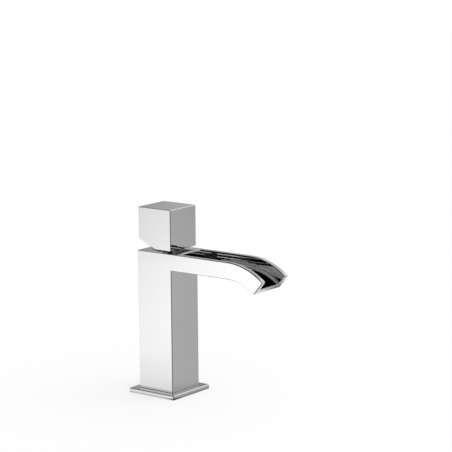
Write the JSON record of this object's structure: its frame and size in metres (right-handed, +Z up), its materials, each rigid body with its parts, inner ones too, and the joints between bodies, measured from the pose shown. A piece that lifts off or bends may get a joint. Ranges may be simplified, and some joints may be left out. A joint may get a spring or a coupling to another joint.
{
  "type": "basin mixer",
  "caption": "Square-column basin mixer with an open, bent waterfall spout, a square base plate and a cube handle that turns for temperature and tips back for flow.",
  "frame": {"origin": "on the column's axis, on the surface that the base stands on, midway between the two stud holes", "axes": "+Z up along the column, -Y along the spout, +X to the right of someone facing the spout"},
  "size_m": [0.05, 0.1399, 0.1642],
  "materials": {
    "chrome_plate": "polished",
    "brass_bare": "satin",
    "steel_bright": "satin",
    "rubber_black": "matte",
    "moulding_white": "satin",
    "moulding_grey": "satin",
    "moulding_black": "satin",
    "ceramic_white": "polished"
  },
  "bodies": {
    "mixer_body": {"body_casting": "chrome_plate", "base_flange": "chrome_plate", "base_gasket": "rubber_black", "flow_straightener": "moulding_black", "cartridge_base": "moulding_grey", "inlet_seals": "rubber_black", "disc_seals": "rubber_black", "fixed_disc": "ceramic_white", "cartridge_housing": "moulding_white", "housing_o_ring": "rubber_black", "retaining_nut": "brass_bare"},
    "turning_spindle": {"spindle": "moulding_grey", "slide_ring": "moulding_white", "pivot_pin": "steel_bright"},
    "sliding_disc": {"moving_disc": "ceramic_white", "disc_carrier": "moulding_grey"},
    "lifting_handle": {"lever": "steel_bright", "cube_handle": "chrome_plate", "grub_screw": "steel_bright", "screw_plug": "chrome_plate"}
  },
  "joints": [
    {"name": "temperature_turn", "type": "hinge", "parent": "mixer_body", "child": "turning_spindle", "pos_m": [0, 0, 0.1155], "axis": [0, 0, 1], "range_deg": [-45, 45]},
    {"name": "flow_lift", "type": "hinge", "parent": "turning_spindle", "child": "lifting_handle", "pos_m": [0, 0, 0.1155], "axis": [-1, 0, 0], "range_deg": [0, 24]},
    {"name": "disc_slide", "type": "slide", "parent": "turning_spindle", "child": "sliding_disc", "axis": [0, -1, 0], "range_m": [0, 0.00326]}
  ],
  "couplings": [
    {"joint": "disc_slide", "follows": "flow_lift", "m_per_rad": 0.007768}
  ]
}
